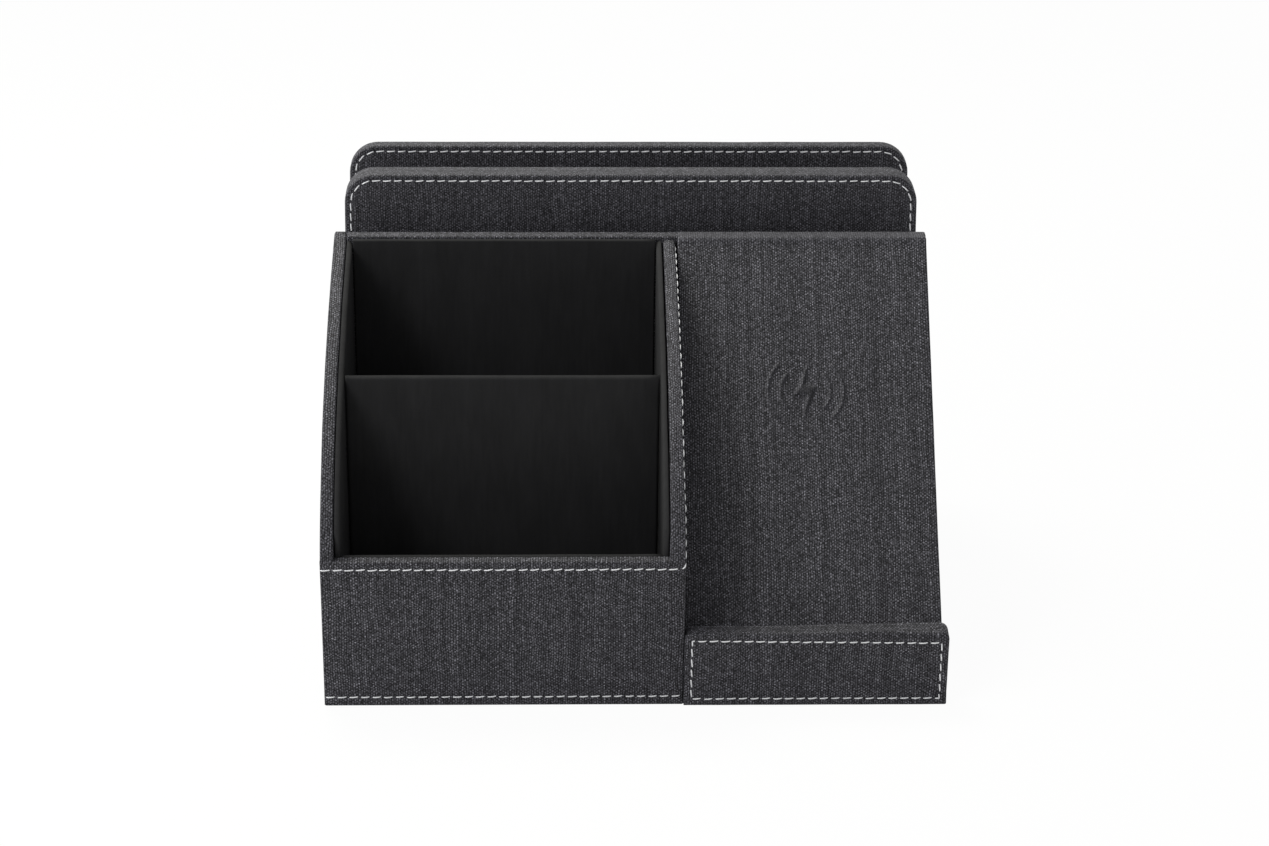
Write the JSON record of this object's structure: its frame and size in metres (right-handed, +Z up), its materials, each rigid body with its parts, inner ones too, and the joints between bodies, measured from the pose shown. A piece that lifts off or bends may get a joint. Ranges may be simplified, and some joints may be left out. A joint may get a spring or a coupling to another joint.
{
  "type": "wireless charger pen holder",
  "caption": "Desk organiser in charcoal linen-grain artificial leather: lined pen box, sloping wireless charging phone rest with a lip, letter rack behind",
  "frame": {"origin": "on the desk, under the middle of the whole object's box", "axes": "+X along the front from the pen box to the phone rest, +Y from the front lip back to the letter rack, +Z up"},
  "size_m": [0.2408, 0.1874, 0.1655],
  "materials": {
    "cloth": "satin linen-grain artificial leather over board",
    "flannel": "brushed black flannel",
    "felt": "black felt",
    "fibreboard": "bare fibreboard",
    "moulded_plastic": "matte",
    "ferrite": "matte ceramic ferrite",
    "litz_copper": "enamelled copper litz",
    "circuit_board": "green solder mask",
    "foam": "adhesive foam",
    "socket_steel": "drawn steel shell",
    "socket_tongue": "matte",
    "chip_plastic": "moulded",
    "capacitor_ceramic": "ceramic"
  },
  "bodies": {
    "root": {"left_side_board": "cloth", "centre_side_board": "cloth", "right_side_board": "cloth", "pen_box_front_board": "cloth", "back_board": "cloth", "phone_panel_board": "cloth", "phone_panel_cover": "cloth", "phone_lip_board": "cloth", "rack_floor_board": "cloth", "rack_front_panel": "cloth", "rack_rear_panel": "cloth", "lining_floor": "flannel", "lining_left": "flannel", "lining_right": "flannel", "lining_front": "flannel", "lining_back": "flannel", "pen_box_divider": "flannel", "base_felt": "felt", "rack_felt": "felt", "base_board": "fibreboard", "panel_cleat": "fibreboard", "charger_tray": "moulded_plastic", "ferrite_plate": "ferrite", "charging_coil": "litz_copper", "charger_pcb": "circuit_board", "pcb_foam_pad": "foam", "usb_c_shell": "socket_steel", "usb_c_tongue": "socket_tongue", "controller_chip": "chip_plastic", "power_stage_chip": "chip_plastic", "power_inductor": "chip_plastic", "resonance_capacitor_1": "capacitor_ceramic", "resonance_capacitor_2": "capacitor_ceramic", "resonance_capacitor_3": "capacitor_ceramic", "resonance_capacitor_4": "capacitor_ceramic"}
  },
  "joints": []
}
